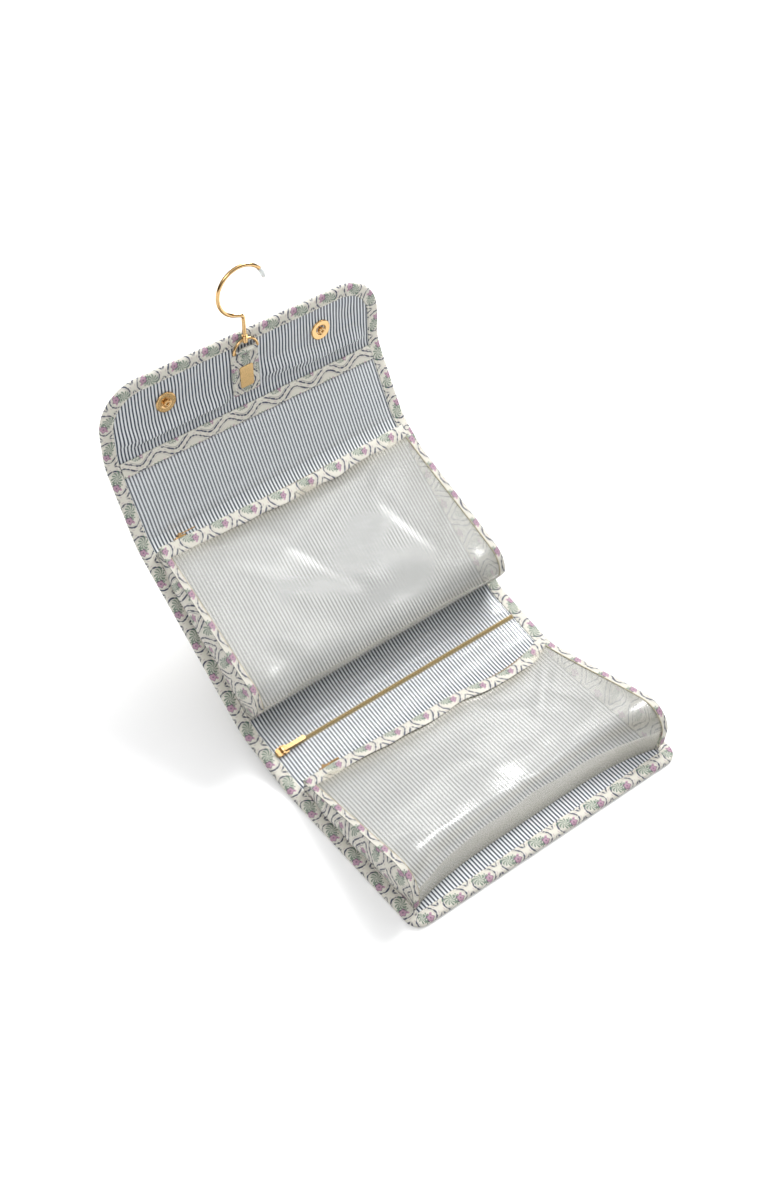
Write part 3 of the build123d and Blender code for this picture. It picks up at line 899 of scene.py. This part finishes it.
BASE_BAND = {"lower": 20 * MM, "upper": 32 * MM}   # how much of the base and its corner is doubled
# how far the mouth is drawn toward the pocket: (x in metres, reach in metres, mm)
DRAWN = {
    "lower": [(0.075, 0.036, 9.5), (-0.010, 0.055, 4.0)],
    "upper": [(0.01, 0.07, 3.0), (-0.08, 0.02, 1.0)],
}


def mouth(prefix, x, half):
    """How far the zip end of a pocket is drawn in at x."""
    total = 0 * x
    for at, reach, far in DRAWN[prefix]:
        total = total + far * MM * np.exp(-(((x - at) / reach) ** 2))
    return total * smooth((half - np.abs(x)) / (18 * MM))


def flare(prefix, sign, t):
    """How far a pocket's end bellies out at t, from its zip (0) to its base's corner (1)."""
    return FLARE[prefix][sign] * MM * smooth(t / 0.75) * (1 - smooth((t - 0.85) / 0.3))


# the printed strip's section, as (down the front, outward), folded over the mouth's edge
STRIP_SECTION = MM * np.array([
    (-2.5, -2.0), (-2.75, -0.6), (-2.5, 0.4), (-1.4, 0.95), (2.0, 1.05), (4.6, 1.08), (7.4, 1.0),
    (8.7, 0.8), (9.2, 0.35), (9.0, 0.1), (5.0, 0.1), (0.6, 0.05), (-1.6, -0.1), (-2.1, -0.7),
    (-2.1, -2.0),
])


def make_pocket(prefix):
    body = prefix + "_panel"
    base = STATIONS[PANELS.index(prefix)]
    gusset_low = local_box(prefix + "_gusset_left")[0]
    half, low = -gusset_low[0], gusset_low[1]
    zip_wall = local_box(prefix + "_front")[1][1]
    line, run = pocket_line(low, zip_wall, DEEP[prefix], SHALLOW, ROUND, DOWN)
    tangent = unit(np.gradient(line, axis=0))
    normal = np.stack([tangent[:, 1], -tangent[:, 0]], -1)

    # the vinyl front and base, one sheet
    u = np.linspace(-1, 1, ACROSS)[:, None]
    v = (run / run[-1])[None]
    edge_u = smooth((1 - np.abs(u)) / 0.16)
    edge_v = smooth(v / 0.10) * smooth((1 - v) / 0.12)
    drop = np.zeros((ACROSS, DOWN))
    for a, b, width, high in CREASES[prefix]:
        drop = drop + crease(u, v, a, b, width, high * 0.6)
    seed = 21 if prefix == "lower" else 22
    creased = 0.4 + 0.7 * smooth((v - 0.5) / 0.2)
    drop = drop + creased * ripple(u * 0.12, v * run[-1], seed, low=34, high=90)
    sag = -SAG[prefix] * np.exp(-(((v - 0.2) / 0.22) ** 2)) * (1 - u * u)
    belly = -SLUMP[prefix] * np.exp(-(((v - 0.74) / 0.19) ** 2)) * (1 - u * u) ** 1.3
    corner = 3.0 * np.exp(-(((v - 0.74) / 0.08) ** 2))
    corner = corner * np.exp(-(((np.abs(u) - 0.86) / 0.12) ** 2))
    belly = belly * smooth((1 - np.abs(u)) / 0.3)
    drop = (drop * edge_u + sag * edge_u + belly + corner * edge_u) * edge_v * MM
    t = run[None] / run[-1]
    bulge = np.where(u > 0, flare(prefix, 1, t), -flare(prefix, -1, t)) * np.abs(u) ** 6
    x = u * (half - 0.5 * MM) + bulge
    drawn = -mouth(prefix, x, half) * (1 - smooth(v / 0.42))
    drawn = drawn + HEAVE[prefix] * MM * (1 - u**4) * smooth((v - 0.5) / 0.35)
    along = line[None, :, 0] + normal[None, :, 0] * drop + drawn
    out = line[None, :, 1] + normal[None, :, 1] * drop

    def layer(far, first=0):
        """The vinyl's points from a row of its grid on, moved in by far."""
        in_along, in_out = (normal[None, first:, k] * far for k in (0, 1))
        return place(x[:, first:], base + along[:, first:] - in_along, out[:, first:] - in_out)

    plan = paired(u * half, run[None])
    part = slab(layer(0), layer(VINYL), plan)
    vinyl = piece(prefix + "_vinyl", [part], MILKY, [prefix + "_front"], body=body)
    # a creamier second sheet inside the base; its cream is painted paler, as painted light for the shaded
    # base
    first = int(np.searchsorted(run, run[-1] - BASE_BAND[prefix]))
    part = slab(layer(0.5 * MM, first), layer(0.8 * MM, first), plan[:, first:])
    nodes = [prefix + "_base_band"]
    lining = piece(prefix + "_base_vinyl", [part], CREAM_VINYL_PAINTED_PALE, nodes, body=body)
    # how far the vinyl is tinted darker cream, along its sides, base and mouth and in a band where it turns:
    # partly its seams' own cream, partly painted shade
    side = (1 - np.abs(u)) * half
    rim = np.maximum(np.exp(-side / (3.5 * MM)), np.exp(-(run[-1] - run)[None] / (9 * MM)) * 0.8)
    rim = np.maximum(rim, np.exp(-np.clip(run - 9 * MM, 0, 1)[None] / (5 * MM)) * 0.9)
    rim = np.maximum(rim, 0.5 * np.exp(-(((run - run[-1] + 34 * MM)[None] / (5 * MM)) ** 2)))
    rim = np.broadcast_to(rim, (ACROSS, DOWN)).ravel()
    seam_cream_and_shade = vinyl.data.attributes.new("edge", "FLOAT", "POINT")
    seam_cream_and_shade.data.foreach_set("value", np.concatenate([rim, rim]).astype(np.float32))

    # gussets: printed cloth, bowed a little
    count_t, count_h = 70, 13
    t = low + 0.3 * MM + (zip_wall - low) * (np.linspace(0, 1, count_t) ** 1.6)
    above = line[:, 0] > low + 0.05 * MM
    wall, wall_run = line[above], run[above]
    reach = np.interp(t, wall[::-1, 0], wall[::-1, 1])
    h = np.linspace(0, 1, count_h)
    tt = np.broadcast_to(t[:, None], (count_t, count_h))
    hh = h[None] * (reach[:, None] - 0.8 * MM) + 0.4 * MM
    for name, sign in (("left", -1), ("right", 1)):
        bow = np.sin(math.pi * np.clip(h, 0, 1))[None]
        bow = bow * smooth((tt - low) / (25 * MM)) * smooth((zip_wall - tt) / (40 * MM))
        bow = bow * (5.2 + 1.0 * ripple(tt, hh, 31 + sign, low=22, high=50)) * MM
        share = np.interp(tt, wall[::-1, 0], wall_run[::-1]) / run[-1]
        spread = flare(prefix, sign, share) * h[None] ** 1.5
        out_x = sign * (half - 0.1 * MM + bow + spread)
        in_x = out_x - sign * 0.8 * MM
        part = slab(place(out_x, base + tt, hh), place(in_x, base + tt, hh), np.stack([tt, hh], -1))
        node = f"{prefix}_gusset_{name}"
        piece(node + "_cloth", [part], GUSSET_PRINT, [node], body=body)

    # piping: a printed roll over the gusset's edge, with a fine cord beside it on the inner side and, on the
    # outer side, a thin near-black tube that is painted shade in the gap by the gusset
    rolls, cords, painted_shade_lines = [], [], []
    roll_line = resample(line[2:-2], 2.0 * MM)
    roll_t = unit(np.gradient(roll_line, axis=0))
    roll_n = np.stack([roll_t[:, 1], -roll_t[:, 0]], -1)
    roll_run = run_along(roll_line)
    for sign in (-1, 1):
        x0 = sign * (half - 1.9 * MM + flare(prefix, sign, roll_run / run[-1]))

        def place_roll(dx, dn):
            at = roll_line + roll_n * dn
            return place(x0 + dx, base + at[:, 0], at[:, 1])

        centre = place_roll(0, 0.55 * MM)
        rolls.append(tube(centre, place_roll(0, 1.55 * MM) - centre, oval(2.55 * MM, 1.35 * MM, 14)))
        # the outer tube is painted shade: a dark line laid in the valley between the piping and the gusset
        for off, radius, group in ((-2.75, 0.38, cords), (2.45, 0.34, painted_shade_lines)):
            centre = place_roll(sign * off * MM, 0.45 * MM)
            normals = place_roll(sign * off * MM, 1.45 * MM) - centre
            group.append(tube(centre, normals, oval(radius * MM, radius * MM, 7)))
    piece(prefix + "_piping_roll", rolls, TAPE_PRINT, [prefix + "_piping"], body=body)
    piece(prefix + "_piping_cord", cords, CORD, body=body)
    piece(prefix + "_piping_painted_shade", painted_shade_lines, PAINTED_SHADE_LINE, body=body)

    # zip wall: tape, coil and the printed strip folded over its upper edge
    tape_low, tape_high = local_box(prefix + "_zip_tape")
    teeth_low, teeth_high = local_box(prefix + "_zip_teeth")
    xs = np.linspace(tape_low[0], tape_high[0], 60)[:, None]
    hs = np.linspace(0.3 * MM, tape_high[2] - 0.4 * MM, 9)[None]
    face = zip_wall + 0.15 * MM * ripple(xs, hs, 41) - mouth(prefix, xs, half) * hs / hs.max()
    back = face + 0.6 * MM
    plan = paired(xs, hs)
    x, out = plan[..., 0], plan[..., 1]
    part = slab(place(x, base + back, out), place(x, base + face, out), plan)
    piece(prefix + "_zip_wall", [part], PALE_TAPE, [prefix + "_zip_tape"], body=body)
    middle_out = (teeth_low[2] + teeth_high[2]) / 2

    def upright(x, t):
        """The spiral lies on its side against the zip wall, and follows the mouth's edge."""
        shift = -mouth(prefix, x, half) * middle_out / tape_high[2]
        along = zip_wall + 1.2 * MM + shift + np.sin(t) * 0.85 * MM
        return along, middle_out + np.cos(t) * 0.85 * MM * 1.9

    part = coil(base, teeth_low[0] + 7 * MM, teeth_high[0] - 2 * MM, 0.36 * MM, upright)
    piece(prefix + "_zip_coil", [part], COIL, [prefix + "_zip_teeth"], body=body)

    # printed strip
    strip_rows = np.linspace(-half + 1 * MM, half - 1 * MM, 90)
    seed = 51 if prefix == "lower" else 52
    droop = -(1.2 + 1.0 * ripple(strip_rows, 0 * strip_rows, seed, low=40, high=90)) * MM
    droop = droop * smooth((half - np.abs(strip_rows)) / (20 * MM))
    path_t, path_n = tangent[4], normal[4]
    section = STRIP_SECTION
    grow = 1 + 0.10 * ripple(strip_rows, 0 * strip_rows, 53, low=25, high=60)
    down = section[None, :, 0] * np.where(section[None, :, 0] > 1 * MM, grow[:, None], 1)
    lift = section[None, :, 1] + 0 * down
    share = smooth(down / (7 * MM))
    raised = lift + droop[:, None] * share
    a = line[0, 0] - mouth(prefix, strip_rows, half)[:, None]
    a = a + path_t[0] * down + path_n[0] * raised
    o = line[0, 1] + path_t[1] * down + path_n[1] * raised
    plan = paired((strip_rows + half)[:, None], girth(section)[None, :])
    part = skin(place(np.broadcast_to(strip_rows[:, None], a.shape), base + a, o), plan)
    piece(prefix + "_zip_strip", [part], STRIP_PRINT, [prefix + "_zip_edge"], body=body)


GUSSET_PRINT = printed("print_gusset", shift=1.0)
STRIP_PRINT = printed("print_strip", shift=-6.5, turn=-65.0, bloom=0.9)
TAB_PRINT = printed("print_tab", column=12.0, repeat=26.0, shift=6.0)
TRIM_PRINT = printed("print_trim", repeat=33.0, offset=1.4, reach=0.52, bloom=0.8)
CORD = plain("piping_cord", (0.50, 0.43, 0.26), (0.42, 0.36, 0.22), 0.4, 2.0)
# near-black: painted shade for the valley between the piping and the gusset, not a real seam's colour
PAINTED_SHADE_LINE = plain("piping_painted_shade", (0.05, 0.045, 0.05), (0.08, 0.07, 0.07), 0.6, 2.0)
PALE_TAPE = plain("pale_tape_cloth", (0.66, 0.64, 0.58), (0.60, 0.58, 0.52), 0.7, 1.2)
make_pocket("lower")
make_pocket("upper")

# --- middle panel: film and a long zip ----------------------------------------
base = STATIONS[1]
film_low, film_high = local_box("middle_film")
teeth_low, teeth_high = local_box("middle_zip_teeth")
zip_at = (teeth_low[1] + teeth_high[1]) / 2


def film_sheet(base, x, along, out, seed, height=0.5, count=(90, 40), roll=0.0, low_edge=0.0, high_edge=0.0):
    """Clear film across a panel; low_edge and high_edge are the margins that it lies flat in."""
    xs = np.linspace(x[0], x[1], count[0])[:, None]
    al = np.linspace(along[0], along[1], count[1])[None]
    fade = smooth((xs - x[0]) / (8 * MM)) * smooth((x[1] - xs) / (8 * MM))
    fade = fade * smooth((al - along[0] - low_edge) / (4 * MM))
    fade = fade * smooth((along[1] - high_edge - al) / (4 * MM))
    n = out + (0.55 + height * ripple(xs * 0.4, al, seed, low=16, high=48)).clip(0, 3) * fade * MM
    n = n + roll * MM * np.exp(-(((al - along[0] - 6 * MM) / (3.2 * MM)) ** 2)) * fade
    xs, al = np.broadcast_arrays(xs, al)
    return slab(place(xs, base + al, n), place(xs, base + al, n - 0.25 * MM), np.stack([xs, al], -1))


x_span = (film_low[0], film_high[0])
halves = [
    film_sheet(base, x_span, (film_low[1], zip_at - 1.8 * MM), 0.5 * MM, 61, high_edge=3 * MM),
    film_sheet(base, x_span, (zip_at + 1.8 * MM, film_high[1]), 0.5 * MM, 62, low_edge=3 * MM),
]
piece("middle_clear_film", halves, FILM, ["middle_film"], body="middle_panel")
part = strip(base, x_span, (zip_at - 2.0 * MM, zip_at + 2.0 * MM), 0.3 * MM, 0.3 * MM)
piece("middle_zip_tape", [part], TAPE, body="middle_panel")


def lying(x, t):
    return zip_at + np.cos(t) * 0.5 * MM * 1.7, 1.15 * MM + np.sin(t) * 0.5 * MM


part = coil(base, teeth_low[0], teeth_high[0], 0.38 * MM, lying)
piece("middle_zip_coil", [part], MIDDLE_COIL, ["middle_zip_teeth"], body="middle_panel")

# --- slip panel: film pocket and its printed trim -----------------------------
base = STATIONS[3]
film_low, film_high = local_box("slip_film")
trim_low, trim_high = local_box("slip_trim")
x_span = (film_low[0], film_high[0])
part = film_sheet(base, x_span, (film_low[1], film_high[1]), 0.75 * MM, 63, 0.7, roll=1.3)
piece("slip_clear_film", [part], FILM, ["slip_film"], body="slip_panel")


def wavy(x):
    """How far the trim strays along the bag, and outward."""
    waves = ((71, 20), (72, 25))
    return tuple(0.25 * MM * ripple(x, 0 * x, seed, low=low, high=60) for seed, low in waves)


part = strip(base, x_span, (trim_low[1], trim_high[1]), 0.5 * MM, 0.9 * MM, waves=wavy)
piece("slip_printed_trim", [part], TRIM_PRINT, ["slip_trim"], body="slip_panel")
threads = []
for row in (trim_low[1] + 1.2 * MM, trim_high[1] - 1.2 * MM):
    ends = [(x_span[0] + 2 * MM, base + row), (x_span[1] - 2 * MM, base + row)]
    threads += thread_run(np.array(ends), 1.38 * MM)
piece("slip_trim_stitches", threads, THREAD, body="slip_panel")

# --- flap: tab, plaque, loop, snaps -------------------------------------------
base = STATIONS[4]
tab_low, tab_high = local_box("flap_tab")


def rounded_plate(x, along, out, radius, bevel, dome=0.0, rings=5):
    """A plate with rounded corners and a rolled edge; dome lifts its middle."""
    cx, ca = (x[0] + x[1]) / 2, (along[0] + along[1]) / 2
    hx, ha = (x[1] - x[0]) / 2, (along[1] - along[0]) / 2
    turn = np.linspace(0, math.pi / 2, 7)

    def loop(inset):
        r = max(radius - inset, 0.05 * MM)
        corner = np.stack([np.cos(turn), np.sin(turn)], -1) * r
        points = []
        for sx, sy, rev in ((1, 1, False), (-1, 1, True), (-1, -1, False), (1, -1, True)):
            c = corner[::-1] if rev else corner
            points.append(c * [sx, sy] + [sx * (hx - inset - r), sy * (ha - inset - r)])
        return np.concatenate(points)

    levels = [(bevel, out[0])]
    for a in np.linspace(0.3, math.pi / 2, rings):
        levels.append((bevel * (1 - math.sin(a)), out[0] + bevel * (1 - math.cos(a))))
    for a in np.linspace(0, math.pi / 2, rings):
        levels.append((bevel * (1 - math.cos(a)), out[1] - bevel * (1 - math.sin(a))))
    for f in (0.15, 0.4, 0.7, 0.93):
        levels.append((bevel + (min(hx, ha) - bevel) * f, out[1] + dome * (1 - (1 - f) ** 2)))
    rings_ = []
    plan = []
    for inset, n in levels:
        ring = loop(inset)
        rings_.append(place(cx + ring[:, 0], base + ca + ring[:, 1], np.full(len(ring), n)))
        ring = np.concatenate([ring, ring[:1]])
        plan.append(ring + [0, ca])
    return skin(np.array(rings_), np.array(plan))


part = rounded_plate(
    (tab_low[0], tab_high[0]), (tab_low[1], tab_high[1]), (0.1 * MM, tab_high[2]), 3 * MM, 0.9 * MM, 0.35 * MM
)
piece("flap_hanging_tab", [part], TAB_PRINT, ["flap_tab"], body="flap_panel")
inset = 2.2 * MM
left, right = tab_low[0] + inset, tab_high[0] - inset
near, far = base + tab_low[1] + inset, base + tab_high[1] - 4 * MM
tab_outline = np.array([(left, far), (left, near), (right, near), (right, far)])
threads = []
for a, b in zip(tab_outline[:-1], tab_outline[1:]):
    height = tab_high[2] + 0.05 * MM
    threads += thread_run(np.array([a, b]), height, pitch=2.6 * MM, length=1.9 * MM, radius=0.24 * MM)
piece("flap_tab_stitches", threads, THREAD, body="flap_panel")
low, high = local_box("flap_plaque")
out = (low[2], high[2] - 0.15 * MM)
plate = rounded_plate((low[0], high[0]), (low[1], high[1]), out, 1.6 * MM, 0.35 * MM)
piece("flap_blank_plaque", [plate], PLAQUE, ["flap_plaque"], body="flap_panel")


def turned(centre, profile, count=48):
    """A disc turned from (radius, height) pairs, standing on the flap's lining."""
    a = np.linspace(0, 2 * math.pi, count, endpoint=False)
    x, along = np.cos(a), base + centre[1]
    rings = [place(centre[0] + r * x, along + r * np.sin(a), np.full(count, n)) for r, n in profile]
    return skin(np.array(rings))


low, high = local_box("flap_ring_loop")
turn = np.linspace(0, 2 * math.pi, 25)[:-1]
loop_along, loop_out = (low[1] + high[1]) / 2, (low[2] + high[2]) / 2
loop_x = np.linspace(low[0], high[0], 15)
loop_r = 2.25 * MM + 0.06 * MM * ripple(loop_x, 0 * loop_x, 81, low=5, high=12)
hole = 1.42 * MM


def loop_wall(radius):
    along, out = base + loop_along + radius * np.cos(turn), loop_out + radius * np.sin(turn)
    return place(loop_x[:, None] + 0 * turn, along, out)


outer, inner = loop_wall(loop_r[:, None]), loop_wall(np.full((15, 1), hole))
rings = np.concatenate([outer, inner[::-1]])
around = np.concatenate([turn, [2 * math.pi]]) * 2.25 * MM
plan = paired(np.concatenate([loop_x, loop_x[::-1]])[:, None], around[None])
part = skin(rings, plan, closed=True)
piece("flap_ring_strap", [part], STRIP_PRINT, ["flap_ring_loop"], body="flap_panel")
low, high = local_box("flap_snap_studs")
SNAP_X, SNAP_ALONG = high[0] - 9 * MM, (low[1] + high[1]) / 2
SNAP_PROFILE = MM * np.array([
    (8.6, 0.0), (9.0, 0.3), (9.0, 1.0), (8.75, 1.4), (8.2, 1.55), (7.6, 1.5), (5.5, 1.45), (4.4, 1.3),
    (3.9, 0.8), (3.6, 0.4), (2.9, 0.4), (2.75, 1.6), (2.7, 2.8), (2.55, 3.3), (2.0, 3.65), (1.4, 3.6),
    (1.1, 3.2), (1.0, 2.4), (0.1, 2.3),
])
snaps = [turned((sign * SNAP_X, SNAP_ALONG), SNAP_PROFILE) for sign in (-1, 1)]
piece("flap_snaps", snaps, GOLD, ["flap_snap_studs"], body="flap_panel", sharp=50)

# --- carried-over CAD pieces --------------------------------------------------
CARRIED = {
    "lower_slider": GOLD, "lower_puller": GOLD, "upper_slider": GOLD, "upper_puller": GOLD,
    "middle_slider": GOLD, "middle_puller": GOLD, "ring": GOLD, "hook": GOLD,
    "hook_collar": GOLD, "hook_tip": TIP, "lower_snap_sockets": GOLD,
}
for node, material in CARRIED.items():
    mesh = frame["nodes"][node].data
    mesh.materials.clear()
    mesh.materials.append(material)
    mesh.polygons.foreach_set("use_smooth", [True] * len(mesh.polygons))
    mesh.set_sharp_from_angle(angle=math.radians(35))
